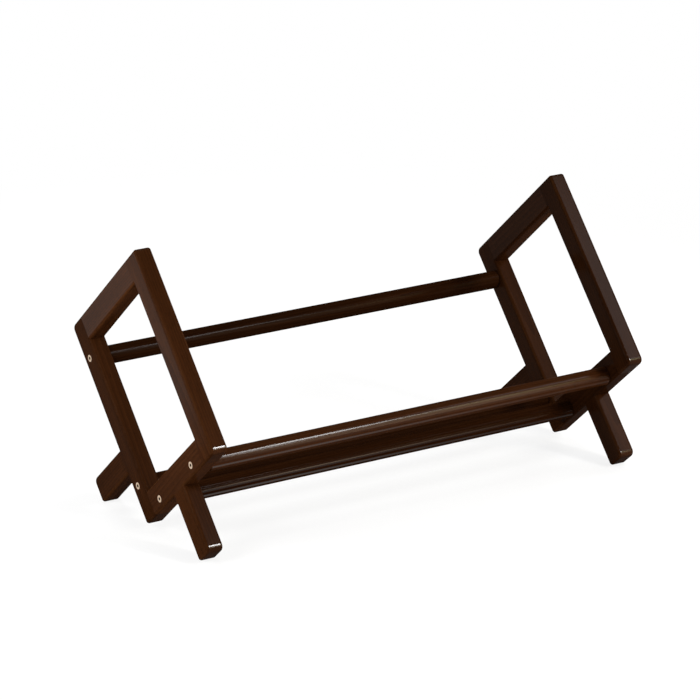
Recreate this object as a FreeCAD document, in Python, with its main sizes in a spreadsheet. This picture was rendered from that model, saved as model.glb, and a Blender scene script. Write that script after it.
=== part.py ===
"""Book stand: two leaning end frames with short legs, joined by four round rods.

A frame is drawn upright in its own plane: X runs along the rods, Y to the rear and Z up the uprights, with
zero at the frame's lower rear corner, halfway through the bars. The finished pieces are leaned back until
the front and rear legs stand on the floor, Z = 0, with the origin under the middle of the stand.
"""
import FreeCAD, Part
import math
import os
import re

import Sketcher

SIZES = {
    # End frames, of bars that share one thickness
    "stand_length": 680,
    "bar_thickness": 25,
    "upright_width": 32,
    "rail_width": 35,
    "frame_height": 293,
    "frame_depth": 230,
    "edge_radius": 4,
    "broad_corner_radius": 8,
    # Legs: the front one is under the bottom rail, the rear one behind the rear upright
    "front_leg_reach": 94,
    "front_leg_setback": 97,
    "rear_leg_reach": 95,
    "rear_leg_height": 73,
    # Rods, placed by their centres from the nearest faces of the frame
    "rod_diameter": 25,
    "rod_end_ease": 0.6,
    "shelf_rod_height": 12.5,
    "front_shelf_rod_inset": 63,
    "rear_shelf_rod_setback": 58,
    "back_rod_setback": 15,
    "lower_back_rod_height": 50,
    "upper_back_rod_drop": 55,
    # Countersunk socket screws, and the threaded inserts in the rod ends
    "screw_diameter": 6,
    "screw_length": 45,
    "screw_head_diameter": 9.5,
    "screw_head_height": 1.75,
    "screw_tip_ease": 0.8,
    "screw_clearance": 0.3,
    "screw_tip_room": 4,
    "socket_width": 4,
    "socket_depth": 2.2,
    "insert_diameter": 10,
    "insert_length": 18,
    "insert_ease": 0.5,
    "thread_clearance": 0.05,
    # Glue dowels, a pair across every glue line
    "dowel_diameter": 8,
    "dowel_length": 30,
    "dowel_spacing": 16,
    "dowel_ease": 1,
    "dowel_end_room": 1,
    "glue_film": 0.05,
}

FRAME_OUTLINE = [
    ("0", "0"),
    ("-front_leg_setback", "0"),
    ("-front_leg_setback", "-front_leg_reach"),
    ("-front_leg_setback - upright_width", "-front_leg_reach"),
    ("-front_leg_setback - upright_width", "0"),
    ("-frame_depth", "0"),
    ("-frame_depth", "frame_height"),
    ("0", "frame_height"),
    ("0", "rear_leg_height + rail_width"),
    ("rear_leg_reach", "rear_leg_height + rail_width"),
    ("rear_leg_reach", "rear_leg_height"),
    ("0", "rear_leg_height"),
]
# The outline's broad corners: the front ends, the top of the back and of the rear leg
BROAD_CORNERS = [
    ("-front_leg_setback - upright_width", "-front_leg_reach"),
    ("-frame_depth", "0"),
    ("0", "frame_height"),
    ("rear_leg_reach", "rear_leg_height + rail_width"),
]
WINDOW_OUTLINE = [
    ("-upright_width", "rail_width"),
    ("upright_width - frame_depth", "rail_width"),
    ("upright_width - frame_depth", "frame_height - rail_width"),
    ("-upright_width", "frame_height - rail_width"),
]

# Each bar's low corner (Y, Z) and its width and height in the frame's plane
BARS = {
    "rear_upright": ("-upright_width", "0", "upright_width", "frame_height"),
    "front_upright": ("-frame_depth", "0", "upright_width", "frame_height"),
    "top_rail": ("upright_width - frame_depth", "frame_height - rail_width",
                 "frame_depth - 2 * upright_width", "rail_width"),
    "bottom_rail": ("upright_width - frame_depth", "0",
                    "frame_depth - 2 * upright_width", "rail_width"),
    "front_leg": ("-front_leg_setback - upright_width", "-front_leg_reach",
                  "upright_width", "front_leg_reach"),
    "rear_leg": ("0", "rear_leg_height", "rear_leg_reach", "rail_width"),
}

# Each rod's centre (Y, Z) in the frame's plane
RODS = {
    "front_shelf_rod": ("front_shelf_rod_inset - frame_depth", "shelf_rod_height"),
    "rear_shelf_rod": ("-rear_shelf_rod_setback", "shelf_rod_height"),
    "lower_back_rod": ("-back_rod_setback", "lower_back_rod_height"),
    "upper_back_rod": ("-back_rod_setback", "frame_height - upper_back_rod_drop"),
}

# The middle of each glue line (Y, Z), and whether its dowels lie along Y or Z
FRAME_JOINTS = [
    ("-upright_width", "rail_width / 2", "Y"),
    ("upright_width - frame_depth", "rail_width / 2", "Y"),
    ("-upright_width", "frame_height - rail_width / 2", "Y"),
    ("upright_width - frame_depth", "frame_height - rail_width / 2", "Y"),
]
LEG_JOINTS = [
    ("-front_leg_setback - upright_width / 2", "0", "Z"),
    ("0", "rear_leg_height + rail_width / 2", "Y"),
]

AXES = {
    "X": FreeCAD.Vector(1, 0, 0),
    "Y": FreeCAD.Vector(0, 1, 0),
    "Z": FreeCAD.Vector(0, 0, 1),
}

doc = FreeCAD.newDocument("BookStand")
sheet = doc.addObject("Spreadsheet::Sheet", "Sizes")
for row, (alias, value) in enumerate(SIZES.items(), start=1):
    sheet.set(f"A{row}", alias)
    sheet.set(f"B{row}", str(value))
    sheet.setAlias(f"B{row}", alias)
doc.recompute()


# Formulas and sketches

def of_sheet(formula):
    """The formula with its size names pointed at the sheet's cells."""
    return re.sub(r"[a-z_]+", lambda word: ("Sizes." if word[0] in SIZES else "") + word[0], formula)


def size(formula):
    return float(sheet.evalExpression(of_sheet(formula)))


def bind(thing, prop, formula):
    thing.setExpression(prop, of_sheet(formula))


def origin_feature(body, role):
    return next(feature for feature in body.Origin.OriginFeatures if feature.Role == role)


def sketch_on(body, role, offset="0"):
    """A sketch on one of the body's own planes, moved along the plane's normal."""
    sketch = body.newObject("Sketcher::SketchObject", "Sketch")
    sketch.AttachmentSupport = [(origin_feature(body, role), "")]
    sketch.MapMode = "FlatFace"
    bind(sketch, "AttachmentOffset.Base.z", offset)
    return sketch


def pin_point(sketch, edge, point, place):
    """Ties a point of an edge to the sketch's axes, at a place given as two formulas."""
    for direction, axis, formula in zip("XY", (-2, -1), place):
        value = size(formula)
        if value == 0:
            sketch.addConstraint(Sketcher.Constraint("PointOnObject", edge, point, axis))
            continue
        ends = (-1, 1, edge, point) if value > 0 else (edge, point, -1, 1)
        number = sketch.addConstraint(Sketcher.Constraint(f"Distance{direction}", *ends, abs(value)))
        bind(sketch, f"Constraints[{number}]", formula if value > 0 else f"-({formula})")


def draw_outline(sketch, places):
    """A closed outline of straight edges through places given as pairs of formulas."""
    corners = [FreeCAD.Vector(size(x), size(y), 0) for x, y in places]
    edges = [sketch.addGeometry(Part.LineSegment(start, end), False)
             for start, end in zip(corners, corners[1:] + corners[:1])]
    for edge, following in zip(edges, edges[1:] + edges[:1]):
        sketch.addConstraint(Sketcher.Constraint("Coincident", edge, 2, following, 1))
    for edge, place in zip(edges, places):
        pin_point(sketch, edge, 1, place)


def draw_circle(sketch, diameter, place=("0", "0")):
    centre = FreeCAD.Vector(size(place[0]), size(place[1]), 0)
    edge = sketch.addGeometry(Part.Circle(centre, AXES["Z"], size(diameter) / 2), False)
    pin_point(sketch, edge, 3, place)
    number = sketch.addConstraint(Sketcher.Constraint("Diameter", edge, size(diameter)))
    bind(sketch, f"Constraints[{number}]", diameter)


def feature(body, kind, profile, length=None):
    """A feature of the body drawn from a sketch, as long or deep as the formula says."""
    made = body.newObject(f"PartDesign::{kind}", kind)
    made.Profile = profile
    if length:
        bind(made, "Length", length)
    return made


def soften(body, kind, is_picked, prop, amount):
    """Rounds or chamfers those edges of the body's last feature that the test picks."""
    base = body.Tip
    names = [f"Edge{number}" for number, edge in enumerate(base.Shape.Edges, start=1) if is_picked(edge)]
    made = body.newObject(f"PartDesign::{kind}", kind)
    made.Base = (base, names)
    bind(made, prop, amount)
    doc.recompute()


def is_rim(edge, diameter):
    """Whether an edge is a circle of the diameter that the formula gives."""
    is_circle = edge.Curve.TypeId == "Part::GeomCircle"
    return is_circle and math.isclose(edge.Curve.Radius, size(diameter) / 2)


# End frames: glued up, rounded all over, then drilled

def is_broad_corner(edge):
    places = [FreeCAD.Vector(0, size(y), size(z)) for y, z in BROAD_CORNERS]
    return any(edge.CenterOfMass.distanceToPoint(place) < size("edge_radius") for place in places)


def is_outer_edge(solid, edge):
    """Whether an edge is no inner corner: there, three of the four spots around it are in the wood."""
    if edge.BoundBox.XLength < edge.Length / 2:
        return True
    reach = size("edge_radius")
    middle = edge.CenterOfMass
    spots = [middle + FreeCAD.Vector(0, y, z) for y in (-reach, reach) for z in (-reach, reach)]
    return sum(solid.isInside(spot, 0, False) for spot in spots) == 1


def end_frame(side, outward):
    """The glued frame with its legs: every outer edge rounded, and a countersunk hole for each rod."""
    body = doc.addObject("PartDesign::Body", f"{side}_end_frame")
    outline = sketch_on(body, "YZ_Plane")
    draw_outline(outline, FRAME_OUTLINE)
    draw_outline(outline, WINDOW_OUTLINE)
    pad = feature(body, "Pad", outline, "bar_thickness")
    pad.SideType = "Symmetric"
    doc.recompute()
    soften(body, "Fillet", is_broad_corner, "Radius", "broad_corner_radius")
    blank = body.Tip.Shape
    soften(body, "Fillet", lambda edge: is_outer_edge(blank, edge), "Radius", "edge_radius")

    centres = sketch_on(body, "YZ_Plane", f"{outward} * bar_thickness / 2")
    for place in RODS.values():
        draw_circle(centres, "screw_diameter", place)
    doc.recompute()
    hole = feature(body, "Hole", centres)
    doc.recompute()
    hole.Reversed = outward < 0
    hole.DepthType = "ThroughAll"
    hole.Threaded = False
    hole.HoleCutType = "Countersink"
    hole.HoleCutCustomValues = True
    bind(hole, "Diameter", "screw_diameter + 2 * screw_clearance")
    bind(hole, "HoleCutDiameter", "screw_head_diameter")
    bind(hole, "HoleCutCountersinkAngle",
         "2 * atan((screw_head_diameter - screw_diameter) / 2 / screw_head_height)")
    doc.recompute()
    return body


def dowel_places(joints):
    """The middle and the turn of each dowel: two in every joint, side by side along the glue line."""
    places = []
    for y, z, direction in joints:
        across = AXES["Z" if direction == "Y" else "Y"]
        turn = FreeCAD.Rotation(AXES["X"], AXES[direction])
        for step in (-1, 1):
            middle = FreeCAD.Vector(0, size(y), size(z)) + across * (step * size("dowel_spacing / 2"))
            places.append(FreeCAD.Placement(middle, turn))
    return places


def dowel_bores():
    """One bore across the glue line for each dowel."""
    bores = []
    for place in dowel_places(FRAME_JOINTS + LEG_JOINTS):
        bore = doc.addObject("Part::Cylinder", "dowel_bore")
        bind(bore, "Radius", "dowel_diameter / 2 + glue_film")
        bind(bore, "Height", "dowel_length + 2 * dowel_end_room")
        start = AXES["X"] * -size("dowel_length / 2 + dowel_end_room")
        bore.Placement = place * FreeCAD.Placement(start, FreeCAD.Rotation(AXES["Z"], AXES["X"]))
        bores.append(bore)
    joined = doc.addObject("Part::MultiFuse", "dowel_bores")
    joined.Shapes = bores
    return joined


def bar_space(name, low_y, low_z, width, height):
    """The space between the glue lines that a bar fills."""
    space = doc.addObject("Part::Box", f"{name}_space")
    bind(space, "Length", "bar_thickness")
    bind(space, "Width", width)
    bind(space, "Height", height)
    bind(space, "Placement.Base.x", "-bar_thickness / 2")
    bind(space, "Placement.Base.y", low_y)
    bind(space, "Placement.Base.z", low_z)
    return space


# Rods and fasteners, each drawn along X

def rod(label):
    """A round rod with eased ends, and in each end a bore for an insert and room for the screw's tip."""
    half = "stand_length / 2 - bar_thickness"
    body = doc.addObject("PartDesign::Body", label)
    section = sketch_on(body, "YZ_Plane")
    draw_circle(section, "rod_diameter")
    pad = feature(body, "Pad", section, f"2 * ({half})")
    pad.SideType = "Symmetric"
    doc.recompute()
    soften(body, "Chamfer", lambda edge: is_rim(edge, "rod_diameter"), "Size", "rod_end_ease")

    pockets = []
    for diameter, depth in (
        ("insert_diameter + 2 * thread_clearance", "insert_length"),
        ("screw_diameter + 2 * screw_clearance", "screw_length - bar_thickness + screw_tip_room"),
    ):
        mouth = sketch_on(body, "YZ_Plane", half)
        draw_circle(mouth, diameter)
        pockets.append(feature(body, "Pocket", mouth, depth))
        doc.recompute()
    both_ends = body.newObject("PartDesign::Mirrored", "Mirrored")
    both_ends.Originals = pockets
    both_ends.MirrorPlane = (origin_feature(body, "YZ_Plane"), [""])
    body.Tip = both_ends
    return body


def screw():
    """A countersunk screw with a hexagon socket: its flat top is at zero, and its tip points along X."""
    body = doc.addObject("PartDesign::Body", "screw")
    half_section = sketch_on(body, "XY_Plane")
    draw_outline(half_section, [
        ("0", "0"),
        ("0", "screw_head_diameter / 2"),
        ("screw_head_height", "screw_diameter / 2"),
        ("screw_length - screw_tip_ease", "screw_diameter / 2"),
        ("screw_length", "screw_diameter / 2 - screw_tip_ease"),
        ("screw_length", "0"),
    ])
    turned = feature(body, "Revolution", half_section)
    turned.ReferenceAxis = (origin_feature(body, "X_Axis"), [""])
    doc.recompute()

    flat, corner = "socket_width / 2", "socket_width / sqrt(3)"
    socket_outline = sketch_on(body, "YZ_Plane")
    draw_outline(socket_outline, [
        (flat, f"-{corner} / 2"),
        (flat, f"{corner} / 2"),
        ("0", corner),
        (f"-{flat}", f"{corner} / 2"),
        (f"-{flat}", f"-{corner} / 2"),
        ("0", f"-{corner}"),
    ])
    socket = feature(body, "Pocket", socket_outline, "socket_depth")
    socket.Reversed = True
    return body


def plain_pin(label, length, ease, diameter, bore=None):
    """A round pin from zero along X, with chamfered outer rims and maybe a bore right through."""
    body = doc.addObject("PartDesign::Body", label)
    section = sketch_on(body, "YZ_Plane")
    draw_circle(section, diameter)
    if bore:
        draw_circle(section, bore)
    feature(body, "Pad", section, length)
    doc.recompute()
    soften(body, "Chamfer", lambda edge: is_rim(edge, diameter), "Size", ease)
    return body


def group(label, pattern, places, stand_place):
    """Separate copies of one fastener, in one node."""
    copies = []
    for place in places:
        copy = doc.addObject("App::Link", f"{label}_copy")
        copy.LinkedObject = pattern
        copy.Placement = place
        copies.append(copy)
    made = doc.addObject("Part::Compound", label)
    made.Links = copies
    made.Placement = stand_place
    return made


# The whole stand

def shift(move):
    return FreeCAD.Placement(move, FreeCAD.Rotation())


def standing(frame):
    """Leans the frame until both legs touch the floor, and centres it over the origin."""
    lean = math.atan2(size("rear_leg_height + front_leg_reach"), size("front_leg_setback + rear_leg_reach"))
    turn = FreeCAD.Placement(FreeCAD.Vector(), FreeCAD.Rotation(AXES["X"], -math.degrees(lean)))
    box = frame.Shape.transformed(turn.toMatrix()).optimalBoundingBox()
    move = FreeCAD.Vector(0, -(box.YMin + box.YMax) / 2, -box.ZMin)
    return shift(move) * turn


SIDES = {"left": -1, "right": 1}

frames = {side: end_frame(side, outward) for side, outward in SIDES.items()}
stand = standing(frames["left"])
bores = dowel_bores()
spaces = {name: bar_space(name, *space) for name, space in BARS.items()}
screw_pattern = screw()
insert_pattern = plain_pin("insert", "insert_length", "insert_ease", "insert_diameter",
                           "screw_diameter + 2 * thread_clearance")
dowel_pattern = plain_pin("dowel", "dowel_length", "dowel_ease", "dowel_diameter")
half_dowel = shift(AXES["X"] * -size("dowel_length / 2"))
rod_centres = {name: FreeCAD.Vector(0, size(y), size(z)) for name, (y, z) in RODS.items()}

nodes = {}
for name, centre in rod_centres.items():
    made = rod(name)
    made.Placement = stand * shift(centre)
    nodes[name] = (made, 1)
for side, outward in SIDES.items():
    side_place = stand * shift(AXES["X"] * (outward * size("(stand_length - bar_thickness) / 2")))
    drilled = doc.addObject("Part::Cut", f"{side}_drilled_frame")
    drilled.Base = frames[side]
    drilled.Tool = bores
    for name, space in spaces.items():
        bar = doc.addObject("Part::Common", f"{side}_{name}")
        bar.Base = drilled
        bar.Tool = space
        bar.Placement = side_place
        nodes[f"{side}_{name}"] = (bar, 1)

    inward = FreeCAD.Rotation(AXES["X"], AXES["X"] * -outward)
    to_outside = AXES["X"] * (outward * size("bar_thickness / 2"))
    centres = rod_centres.values()
    fasteners = {
        "rod_screws": (screw_pattern, [FreeCAD.Placement(spot + to_outside, inward) for spot in centres]),
        "rod_inserts": (insert_pattern, [FreeCAD.Placement(spot - to_outside, inward) for spot in centres]),
        "frame_dowels": (dowel_pattern, [place * half_dowel for place in dowel_places(FRAME_JOINTS)]),
        "leg_dowels": (dowel_pattern, [place * half_dowel for place in dowel_places(LEG_JOINTS)]),
    }
    for name, (pattern, places) in fasteners.items():
        nodes[f"{side}_{name}"] = (group(f"{side}_{name}", pattern, places, side_place), len(places))
doc.recompute()

# Nothing is written unless every object is sound

for made in doc.Objects:
    if {"Invalid", "Error"} & set(made.State):
        raise RuntimeError(f"{made.Label} failed: {made.State}")
for name, (made, solids) in nodes.items():
    if made.Shape.isNull() or not made.Shape.isValid() or len(made.Shape.Solids) != solids:
        raise RuntimeError(f"{name} is not {solids} sound solids")

os.makedirs("parts", exist_ok=True)
for name, (made, solids) in nodes.items():
    made.Label = name
    made.Shape.exportStep(f"parts/{name}.step")
    print(f"{name}: {solids} solids, {made.Shape.Volume:.0f} mm3")
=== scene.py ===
import math

import bpy
from mathutils import Matrix, Vector


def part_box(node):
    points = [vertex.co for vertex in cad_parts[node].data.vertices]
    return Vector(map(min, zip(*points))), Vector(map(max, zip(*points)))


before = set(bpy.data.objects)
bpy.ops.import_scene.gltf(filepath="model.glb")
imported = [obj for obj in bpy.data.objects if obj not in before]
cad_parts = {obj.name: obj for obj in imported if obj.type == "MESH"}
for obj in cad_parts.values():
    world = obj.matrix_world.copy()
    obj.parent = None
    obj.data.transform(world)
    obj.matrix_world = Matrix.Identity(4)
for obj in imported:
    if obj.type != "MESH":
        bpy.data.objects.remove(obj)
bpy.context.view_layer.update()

MM = 0.001
WHITE = (1, 1, 1)
RODS = ("front_shelf_rod", "rear_shelf_rod", "lower_back_rod", "upper_back_rod")


def middle(node):
    """The middle of a node's box."""
    low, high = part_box(node)
    return (low + high) / 2


# The axes of the leaning end frames, read from the rods

ALONG = Vector((1, 0, 0))
FORWARD = (middle("front_shelf_rod") - middle("rear_shelf_rod")).normalized()
UPWARD = FORWARD.cross(ALONG)


# Node trees

class Tree:
    """A node tree in which a node is made, set and linked in one call."""

    def __init__(self, tree):
        self.tree = tree

    def fill(self, node, inputs):
        """Links the sockets among the inputs, and sets the rest as constants."""
        for key, value in inputs.items():
            if isinstance(value, bpy.types.NodeSocket):
                self.tree.links.new(value, node.inputs[key])
            else:
                node.inputs[key].default_value = value

    def add(self, kind, inputs=None, **settings):
        node = self.tree.nodes.new(kind)
        for name, value in settings.items():
            setattr(node, name, value)
        self.fill(node, inputs or {})
        return node

    def math(self, operation, *values):
        node = self.add("ShaderNodeMath", dict(enumerate(values)), operation=operation)
        return node.outputs[0]

    def product(self, *values):
        result = values[0]
        for value in values[1:]:
            result = self.math("MULTIPLY", result, value)
        return result

    def vector(self, operation, *values, output="Vector"):
        node = self.add("ShaderNodeVectorMath", dict(enumerate(values)), operation=operation)
        return node.outputs[output]

    def along(self, vector, axis):
        """How far a vector lies along an axis."""
        return self.vector("DOT_PRODUCT", vector, axis, output="Value")

    def facing(self, vector, axis):
        """How far a vector lies along an axis, either way."""
        return self.math("ABSOLUTE", self.along(vector, axis))

    def length(self, vector):
        return self.vector("LENGTH", vector, output="Value")

    def remap(self, value, low, high, to_low=0.0, to_high=1.0):
        """The value moved from one range to another, and kept inside it."""
        inputs = dict(enumerate((value, low, high, to_low, to_high)))
        return self.add("ShaderNodeMapRange", inputs).outputs[0]

    def noise(self, place, scale, detail=2.0, roughness=0.5):
        inputs = {"Vector": place, "Scale": scale, "Detail": detail, "Roughness": roughness}
        return self.add("ShaderNodeTexNoise", inputs).outputs[0]

    def blend(self, factor, first, second):
        """A colour between two."""
        inputs = {0: factor, 6: first, 7: second}
        return self.add("ShaderNodeMix", inputs, data_type="RGBA").outputs[2]

    def lit(self, colour, level):
        """A colour made lighter or darker."""
        inputs = {0: colour, "Scale": level}
        return self.add("ShaderNodeVectorMath", inputs, operation="SCALE").outputs[0]

    def bump(self, depth, height):
        inputs = {"Distance": depth, "Height": height}
        return self.add("ShaderNodeBump", inputs).outputs[0]

    def place(self):
        return self.add("ShaderNodeTexCoord").outputs["Object"]

    def normal(self):
        return self.add("ShaderNodeNewGeometry").outputs["Normal"]


def new_material(name, inputs_from):
    """A material whose main shader gets the inputs that a function of its tree works out."""
    material = bpy.data.materials.new(name)
    material.use_nodes = True
    tree = Tree(material.node_tree)
    tree.fill(material.node_tree.nodes["Principled BSDF"], inputs_from(tree))
    return material


# The middle part of a noise, which varies about 0.5

NOISE = (0.3, 0.7)
NOISE_PATCHES = (0.35, 0.65)


# Stained wood: one group of nodes, in a space whose X runs along the grain

EARLY_WOOD = (0.0345, 0.0114, 0.0035, 1)
LATE_WOOD = (0.0245, 0.0076, 0.0022, 1)
PORE = (0.0090, 0.0030, 0.0010, 1)
RUBBED_EDGE = (0.0600, 0.0230, 0.0085, 1)

# The growth rings: a wave texture of scale 1 has 20 radians to the metre
RING_SPACING = 3.4 * MM
WAVE_RADIANS = 20
RING_SCALE = 2 * math.pi / (WAVE_RADIANS * RING_SPACING)
RING_DISTORTION = {"Distortion": 5, "Detail": 2, "Detail Scale": 0.35}

# The grain's noises: the stretch along the grain, and the scale
CLOUD_STRETCH = (0.06, 1, 1)
CLOUD_SCALE = 38
FIBRE_STRETCH = (0.02, 1, 1)
FIBRE_SCALE = 850
FIBRE_DETAIL = 3
FIBRE_CRISPNESS = 0.6
PORE_STRETCH = (0.05, 1, 1)
PORE_SCALE = 1500
PORE_DETAIL = 1
PORE_CUT = (0.62, 0.70)

# What the grain does to the colour, the roughness and the relief
CLOUD_SHADES = (0.80, 1.20)
FIBRE_SHADES = (0.88, 1.12)
END_GRAIN_SHADE = 0.75
EDGE_SHARE = 0.4
PORE_SHARE = 0.6
FIBRE_ROUGHNESS = (0.42, 0.52)
PORE_ROUGHNESS = 0.2
FIBRE_RELIEF = 0.3
PORE_DEPTH = 0.03 * MM

# Faces and rounds, told apart by how far the normal lies along an axis
END_GRAIN = (0.7, 0.95)
ROUND = (0.99, 0.85)
RUBBED_CLOUDS = (0.4, 0.65)
SIDE_FACE = (0.93, 0.995)
SIDE_ROUND = (0.08, 0.3)
SIDE_ROUND_LACQUER = 0.15
CROSS_ROUND_UPWARD = (0.03, 0.08)
CROSS_ROUND_SIDEWAYS = (0.4, 0.1)
CROSS_ROUND_FORWARD = (0.88, 0.94)

GROUP_INPUTS = {
    "Place": "Vector", "Grain": "Vector", "Wear": "Float", "Shade": "Float",
    "Side Lacquer": "Float", "Face Lacquer": "Float", "Glint Lacquer": "Float",
}
GROUP_OUTPUTS = {"Colour": "Color", "Roughness": "Float", "Height": "Float", "Lacquer": "Float"}


def bar_lacquer_and_sheen(tree, given, sideways, upward, forward):
    """A bar's lacquer and painted sheen: on its sides, on its other faces, and on the rounds
    across its front, where it paints glints.
    """
    crosswise = tree.product(
        tree.remap(upward, *CROSS_ROUND_UPWARD),
        tree.remap(sideways, *CROSS_ROUND_SIDEWAYS),
        tree.remap(forward, *CROSS_ROUND_FORWARD),
    )
    thinned = tree.remap(sideways, *SIDE_ROUND, 1, SIDE_ROUND_LACQUER)
    face = tree.product(given["Face Lacquer"], thinned)
    lacquer = tree.remap(sideways, *SIDE_FACE, face, given["Side Lacquer"])
    return tree.remap(crosswise, 0, 1, lacquer, given["Glint Lacquer"])


def wood_group():
    """The stained wood's nodes, which all the bars and rods share."""
    group = bpy.data.node_groups.new("stained_wood", "ShaderNodeTree")
    for name, kind in GROUP_INPUTS.items():
        group.interface.new_socket(name, in_out="INPUT", socket_type=f"NodeSocket{kind}")
    for name, kind in GROUP_OUTPUTS.items():
        group.interface.new_socket(name, in_out="OUTPUT", socket_type=f"NodeSocket{kind}")
    tree = Tree(group)
    given = tree.add("NodeGroupInput").outputs

    slow = tree.vector("MULTIPLY", given["Place"], CLOUD_STRETCH)
    short = tree.vector("MULTIPLY", given["Place"], PORE_STRETCH)
    long = tree.vector("MULTIPLY", given["Place"], FIBRE_STRETCH)
    clouds = tree.noise(slow, CLOUD_SCALE)
    fibres = tree.noise(long, FIBRE_SCALE, FIBRE_DETAIL, FIBRE_CRISPNESS)
    pores = tree.remap(tree.noise(short, PORE_SCALE, PORE_DETAIL), *PORE_CUT)
    rings = tree.add(
        "ShaderNodeTexWave", {"Vector": slow, "Scale": RING_SCALE, **RING_DISTORTION},
        wave_type="RINGS", rings_direction="X", wave_profile="SAW",
    ).outputs[1]

    normal = tree.normal()
    end = tree.remap(tree.facing(normal, given["Grain"]), *END_GRAIN)
    sideways = tree.facing(normal, ALONG)
    upward = tree.facing(normal, UPWARD)
    forward = tree.facing(normal, FORWARD)
    flat = tree.math("MAXIMUM", tree.math("MAXIMUM", sideways, upward), forward)
    rounded = tree.remap(flat, *ROUND)
    edge = tree.product(rounded, given["Wear"], tree.remap(clouds, *RUBBED_CLOUDS))

    level = tree.product(
        given["Shade"],
        tree.remap(clouds, *NOISE, *CLOUD_SHADES),
        tree.remap(fibres, *NOISE, *FIBRE_SHADES),
        tree.remap(end, 0, 1, 1, END_GRAIN_SHADE),
    )
    colour = tree.blend(rings, EARLY_WOOD, LATE_WOOD)
    colour = tree.blend(tree.product(edge, EDGE_SHARE), colour, RUBBED_EDGE)
    colour = tree.lit(colour, level)
    colour = tree.blend(tree.product(pores, PORE_SHARE), colour, PORE)
    fibre_roughness = tree.remap(fibres, *NOISE, *FIBRE_ROUGHNESS)
    pore_roughness = tree.product(pores, PORE_ROUGHNESS)
    tree.add("NodeGroupOutput", {
        "Colour": colour,
        "Roughness": tree.math("ADD", fibre_roughness, pore_roughness),
        "Height": tree.math("SUBTRACT", tree.product(fibres, FIBRE_RELIEF), pores),
        "Lacquer": bar_lacquer_and_sheen(tree, given, sideways, upward, forward),
    })
    return group


WOOD = wood_group()


# The bars' grain, and the ends of them that carry a glue line

BARS = {
    "rear_upright": (UPWARD, ()),
    "front_upright": (UPWARD, ()),
    "top_rail": (FORWARD, (-1, 1)),
    "bottom_rail": (FORWARD, (-1, 1)),
    "front_leg": (UPWARD, (1,)),
    "rear_leg": (FORWARD, (1,)),
}
SEAM_WIDTH = 0.6 * MM
SEAM_SHADE = 0.55


# The cuts from the tree: each piece lies elsewhere round the pith, and a little off its line

PITH_DISTANCE = 45 * MM
PITH_TILT = math.radians(1.2)
CUT_TURN = 2.4
CUT_STEP = 0.7


# Each piece's colour as a share of the wood's colour: partly its stain and partly painted shade
# and painted light, and lighter at the uprights' feet

STAIN_AND_SHADE = {
    "left_rear_upright": 0.72,
    "left_front_upright": 0.93,
    "left_top_rail": 1.1,
    "left_front_leg": 0.93,
    "left_rear_leg": 0.8,
    "right_rear_upright": 0.7,
    "right_front_upright": 0.58,
    "right_top_rail": 0.75,
    "right_bottom_rail": 0.58,
    "right_front_leg": 0.66,
    "right_rear_leg": 0.7,
    "rear_shelf_rod": 0.62,
    "lower_back_rod": 0.62,
    "upper_back_rod": 0.45,
}
FOOT_FADE = (15 * MM, 100 * MM)
FOOT_SHADE = 1.2


# The lacquer of each bar on its sides and on its other faces, set piece by piece and face by face
# partly as painted sheen, and thinner at the uprights' feet

COAT_ROUGHNESS = 0.13
COAT_IOR = 2.0
BAR_LACQUER_AND_SHEEN = {
    "left_rear_upright": (0.02, 0.02),
    "left_front_upright": (0.10, 0.02),
    "left_top_rail": (0.12, 0.006),
    "left_bottom_rail": (0.015, 0.012),
    "left_front_leg": (0.006, 0.025),
    "left_rear_leg": (0.015, 0.01),
    "right_rear_upright": (0.02, 0.012),
    "right_front_upright": (0.02, 0.045),
    "right_top_rail": (0.03, 0.012),
    "right_bottom_rail": (0.015, 0.018),
    "right_front_leg": (0.014, 0.03),
    "right_rear_leg": (0.015, 0.012),
}
# More lacquer on the rounds across the bars' fronts, which paints glints on them
GLINT_LACQUER = 0.3
FOOT_LACQUER = 0.1


# The rods' lacquer, less below so the undersides come out darker as painted shade, and the
# painted reflection lines along a rod,
# made as lines of thicker lacquer: each line's angle above the front in degrees and its lacquer,
# which fades to a share towards the right

ROD_LACQUER = {
    "front_shelf_rod": 0.065,
    "rear_shelf_rod": 0.008,
    "lower_back_rod": 0.02,
    "upper_back_rod": 0.008,
}
ROD_BELOW = (-0.06, 0.05)
BELOW_SHARE = 0.2
PAINTED_REFLECTION_LINES = {
    "front_shelf_rod": ((-21, 0.32),),
    "rear_shelf_rod": ((8.6, 0.18), (-23, 0.38)),
}
LINE_EDGE = (0.987, 0.998)
LINE_FADE = (-0.15, 0.2)
LINE_END_SHARE = 0.3


def grain_turn(grain, number):
    """The turn that brings the grain onto X, a little off, as the cut is off the tree's pith."""
    side = UPWARD if grain == ALONG else ALONG
    square = Matrix((grain, side, grain.cross(side)))
    yaw = Matrix.Rotation(PITH_TILT * math.cos(number), 3, "Y")
    roll = Matrix.Rotation(PITH_TILT * math.sin(number), 3, "Z")
    return yaw @ roll @ square


def reach(name, grain):
    """Half the length along its grain of a bar that leans in its box."""
    low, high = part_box(name)
    half = (high - low) / 2
    y, z = abs(grain.y), abs(grain.z)
    return (half.y * y - half.z * z) / (y * y - z * z)


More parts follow.
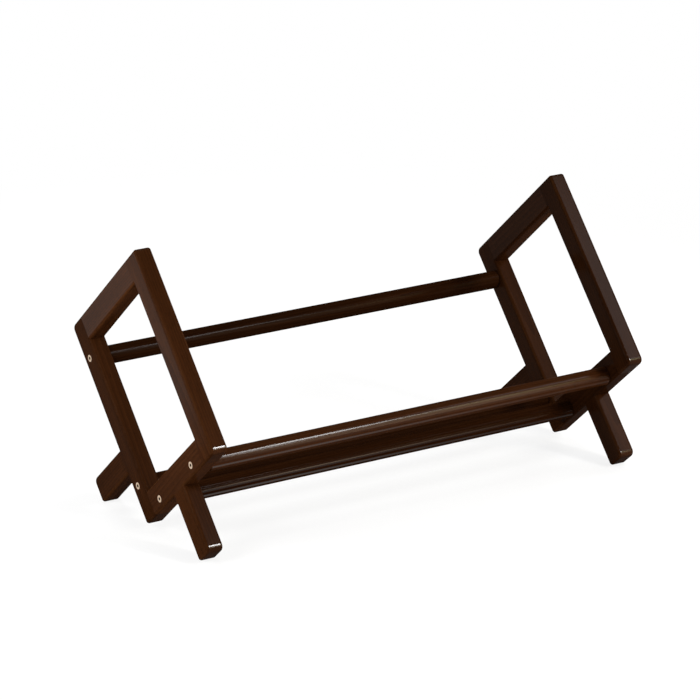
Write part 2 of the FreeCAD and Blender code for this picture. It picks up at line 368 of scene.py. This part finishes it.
def rod_lacquer_and_sheen(tree, name, place):
    """A rod's thin lacquer, less below so the undersides come out darker as painted shade, with
    painted reflection lines of thicker lacquer along the rod.
    """
    normal = tree.normal()
    height = tree.along(normal, (0, 0, 1))
    across = tree.along(place, ALONG)
    coat = ROD_LACQUER[name]
    lacquer = tree.remap(height, *ROD_BELOW, BELOW_SHARE * coat, coat)
    # Painted reflection lines, made as bands of thicker lacquer
    for angle, most in PAINTED_REFLECTION_LINES.get(name, ()):
        lean = math.radians(angle)
        near = tree.along(normal, (0, -math.cos(lean), math.sin(lean)))
        strength = tree.remap(across, *LINE_FADE, most, LINE_END_SHARE * most)
        line = tree.product(tree.remap(near, *LINE_EDGE), strength)
        lacquer = tree.math("MAXIMUM", lacquer, line)
    return lacquer


def stained_wood(name, grain, number, seams=(), wear=1.0):
    """Lacquered wood, with its own cut from the tree and a glue line at the ends in seams."""
    centre = middle(name)
    turn = grain_turn(grain, number)
    bearing = CUT_TURN * number
    pith = Vector((
        CUT_STEP * number,
        PITH_DISTANCE * math.cos(bearing),
        PITH_DISTANCE * math.sin(bearing),
    ))

    def inputs_from(tree):
        place = tree.place()
        mapped = tree.add("ShaderNodeMapping", {
            "Vector": place, "Rotation": turn.to_euler(), "Location": pith - turn @ centre,
        }).outputs[0]

        def from_end(end):
            """The distance along the grain from one end of the bar."""
            tip = centre + grain * end * reach(name, grain)
            return tree.facing(tree.vector("SUBTRACT", place, tip), grain)

        # The piece's share of the wood's colour, partly stain and partly painted shade and
        # painted light
        shade = STAIN_AND_SHADE.get(name, 1.0)
        side, face = BAR_LACQUER_AND_SHEEN.get(name, (0, 0))
        for end in seams:
            seam = tree.remap(from_end(end), 0, SEAM_WIDTH, SEAM_SHADE, 1)
            shade = tree.product(seam, shade)
        # The uprights come out lighter and less glossy towards their feet
        if name.endswith("upright"):
            height = from_end(-1)
            shade = tree.remap(height, *FOOT_FADE, FOOT_SHADE * shade, shade)
            side = tree.remap(height, *FOOT_FADE, FOOT_LACQUER * side, side)

        wood = tree.add("ShaderNodeGroup", node_tree=WOOD)
        tree.fill(wood, {"Place": mapped, "Grain": grain, "Wear": wear, "Shade": shade})
        if name in RODS:
            lacquer = rod_lacquer_and_sheen(tree, name, place)
        else:
            tree.fill(wood, {
                "Side Lacquer": side, "Face Lacquer": face, "Glint Lacquer": GLINT_LACQUER,
            })
            lacquer = wood.outputs["Lacquer"]
        return {
            "Base Color": wood.outputs["Colour"],
            "Roughness": wood.outputs["Roughness"],
            "Normal": tree.bump(PORE_DEPTH, wood.outputs["Height"]),
            "Specular IOR Level": 0.0,
            "Coat Weight": lacquer,
            "Coat Roughness": COAT_ROUGHNESS,
            "Coat IOR": COAT_IOR,
        }

    return new_material(name, inputs_from)


# Brass screws and inserts, and beech dowels

SCREW_BRASS = (0.52, 0.38, 0.26, 1)
SCREW_WORN = (0.66, 0.50, 0.36, 1)
SCREW_ROUGHNESS = (0.38, 0.26)
SCREW_NOISE_SCALE = 900
# The socket's colour is painted shade in the recess
SOCKET_SHADE = (0.030, 0.019, 0.012, 1)
SOCKET_LIP = (0.08 * MM, 0.4 * MM)
HEAD_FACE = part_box("right_rod_screws")[1].x
TURNING_PITCH = 0.35 * MM
TURNING_DEPTH = 0.01 * MM
INSERT_BRASS = (0.60, 0.42, 0.20, 1)
INSERT_TARNISH = (0.42, 0.28, 0.13, 1)
INSERT_ROUGHNESS = (0.3, 0.45)
INSERT_NOISE_SCALE = 600
BRASS_DETAIL = 3
BEECH = (0.58, 0.38, 0.22, 1)
BEECH_FLECK = (0.42, 0.25, 0.13, 1)
BEECH_ROUGHNESS = (0.55, 0.7)
FLECK_STRETCH = (1, 0.2, 0.2)
FLECK_SCALE = 900
FLECK_CUT = (0.45, 0.65)


def screw_brass(tree):
    """Turned heads: rings about each screw's axis, and the socket painted dark as shade."""
    place = tree.place()
    radius = 1.0
    for rod in RODS:
        offset = tree.vector("SUBTRACT", place, middle(rod))
        offset = tree.vector("MULTIPLY", offset, (0, 1, 1))
        radius = tree.math("MINIMUM", tree.length(offset), radius)
    turning = tree.math("SINE", tree.product(radius, 2 * math.pi / TURNING_PITCH))
    noise = tree.noise(place, SCREW_NOISE_SCALE, BRASS_DETAIL)
    wear = tree.remap(noise, *NOISE_PATCHES)
    colour = tree.blend(wear, SCREW_BRASS, SCREW_WORN)
    depth = tree.math("SUBTRACT", HEAD_FACE, tree.facing(place, ALONG))
    return {
        "Base Color": tree.blend(tree.remap(depth, *SOCKET_LIP), colour, SOCKET_SHADE),
        "Roughness": tree.remap(wear, 0, 1, *SCREW_ROUGHNESS),
        "Normal": tree.bump(TURNING_DEPTH, turning),
        "Metallic": 1.0,
    }


def insert_brass(tree):
    """Tarnished sleeves."""
    noise = tree.noise(tree.place(), INSERT_NOISE_SCALE, BRASS_DETAIL)
    tarnish = tree.remap(noise, *NOISE_PATCHES)
    return {
        "Base Color": tree.blend(tarnish, INSERT_BRASS, INSERT_TARNISH),
        "Roughness": tree.remap(noise, *NOISE, *INSERT_ROUGHNESS),
        "Metallic": 1.0,
    }


def beech(tree):
    """Pale wood with darker flecks."""
    stretched = tree.vector("MULTIPLY", tree.place(), FLECK_STRETCH)
    noise = tree.noise(stretched, FLECK_SCALE)
    return {
        "Base Color": tree.blend(tree.remap(noise, *FLECK_CUT), BEECH, BEECH_FLECK),
        "Roughness": tree.remap(noise, *NOISE, *BEECH_ROUGHNESS),
    }


DOWELS = new_material("beech", beech)
FASTENERS = {
    "rod_screws": new_material("screw_brass", screw_brass),
    "rod_inserts": new_material("insert_brass", insert_brass),
    "frame_dowels": DOWELS,
    "leg_dowels": DOWELS,
}


def finish_for(name, number):
    """The material of a node, by its name."""
    if name in RODS:
        return stained_wood(name, ALONG, number, wear=0.0)
    kind = name.split("_", 1)[1]
    if kind in FASTENERS:
        return FASTENERS[kind]
    grain, seams = BARS[kind]
    return stained_wood(name, grain, number, seams)


for number, (name, node) in enumerate(sorted(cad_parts.items())):
    node.data.materials.clear()
    node.data.materials.append(finish_for(name, number))


# Camera

CAMERA_AIM = Vector((-0.0127, 0.0065, 0.1836))
CAMERA_DISTANCE = 4.7588
CAMERA_AZIMUTH = math.radians(-32.668)
CAMERA_ELEVATION = math.radians(18.196)
CAMERA_ROLL = math.radians(-0.115)
CAMERA_LENS_MM = 181.92
SENSOR_MM = 36


def add_camera():
    back = Vector((
        math.sin(CAMERA_AZIMUTH) * math.cos(CAMERA_ELEVATION),
        -math.cos(CAMERA_AZIMUTH) * math.cos(CAMERA_ELEVATION),
        math.sin(CAMERA_ELEVATION),
    ))
    data = bpy.data.cameras.new("camera")
    data.lens = CAMERA_LENS_MM
    data.sensor_width = SENSOR_MM
    camera = bpy.data.objects.new("camera", data)
    bpy.context.scene.collection.objects.link(camera)
    place = Matrix.Translation(CAMERA_AIM + back * CAMERA_DISTANCE)
    turn = (-back).to_track_quat("-Z", "Y").to_matrix().to_4x4()
    roll = Matrix.Rotation(CAMERA_ROLL, 4, "Z")
    camera.matrix_world = place @ turn @ roll
    bpy.context.scene.camera = camera


# Floor and light: each lamp's place, its width and height, its power in watts and its colour

FLOOR_SIZE = 40
FLOOR_COLOUR = (0.85, 0.85, 0.85, 1)
FLOOR_GLOW = 1.0
FLOOR_GLOW_SHARE = 0.82
SHADOW_REACH = (0.7, 1.6)
WORLD_STRENGTH = 0.12
WARM_WHITE = (1, 0.80, 0.58)
YELLOW_WHITE = (1, 0.95, 0.5)
LAMPS = {
    "key": ((1.28, -1.93, 1.96), (0.28, 0.7), 46, WHITE),
    "strip": ((1.09, -2.14, 1.92), (0.09, 1.7), 18, WHITE),
    "front_panel": ((1.28, -2.2, 0.69), (0.7, 1.3), 18, WARM_WHITE),
    "right_panel": ((1.58, -1.96, 1.42), (0.36, 0.6), 6, YELLOW_WHITE),
    "left_fill": ((-0.9, -0.06, 0.47), (0.4, 0.4), 5.5, WHITE),
    "right_overhead": ((1.74, -1.20, 1.96), (0.5, 0.8), 5.4, WHITE),
    "right_fill": ((1.0, 0.1, 0.5), (0.4, 0.4), 5, WHITE),
    "back_fill": ((0.3, 2.6, 1.9), (1.4, 1.0), 75, WHITE),
}
LAMP_TARGET = Vector((0, 0, 0.15))


def add_floor():
    """A pale floor that lights the stand as it is, and is white where it is seen or reflected."""
    bpy.ops.mesh.primitive_plane_add(size=FLOOR_SIZE)
    floor = bpy.context.object
    floor.name = "floor"
    material = bpy.data.materials.new("floor")
    material.use_nodes = True
    material.node_tree.nodes.clear()
    tree = Tree(material.node_tree)
    path = tree.add("ShaderNodeLightPath").outputs
    seen = tree.math("MAXIMUM", path["Is Camera Ray"], path["Is Glossy Ray"])
    seen = tree.math("MAXIMUM", seen, path["Is Transmission Ray"])
    diffuse = tree.add("ShaderNodeBsdfDiffuse", {"Color": FLOOR_COLOUR}).outputs[0]
    glow = tree.add("ShaderNodeEmission", {"Strength": FLOOR_GLOW}).outputs[0]
    away = tree.length(tree.place())
    share = tree.product(seen, tree.remap(away, *SHADOW_REACH, FLOOR_GLOW_SHARE, 1))
    mix = tree.add("ShaderNodeMixShader", {0: share, 1: diffuse, 2: glow}).outputs[0]
    tree.add("ShaderNodeOutputMaterial", {"Surface": mix})
    floor.data.materials.append(material)


def add_world():
    world = bpy.data.worlds.new("studio")
    world.use_nodes = True
    background = world.node_tree.nodes["Background"]
    background.inputs["Color"].default_value = (*WHITE, 1)
    background.inputs["Strength"].default_value = WORLD_STRENGTH
    bpy.context.scene.world = world


def add_lamp(name, place, size, power, colour):
    """A rectangular lamp that is turned to the stand, and that the camera doesn't see."""
    data = bpy.data.lights.new(name, "AREA")
    data.shape = "RECTANGLE"
    data.size, data.size_y = size
    data.energy = power
    data.color = colour
    lamp = bpy.data.objects.new(name, data)
    bpy.context.scene.collection.objects.link(lamp)
    lamp.location = place
    lamp.rotation_euler = (LAMP_TARGET - Vector(place)).to_track_quat("-Z", "Y").to_euler()
    lamp.visible_camera = False


add_camera()
add_floor()
add_world()
for name, settings in LAMPS.items():
    add_lamp(name, *settings)
bpy.context.scene.view_settings.view_transform = "Standard"
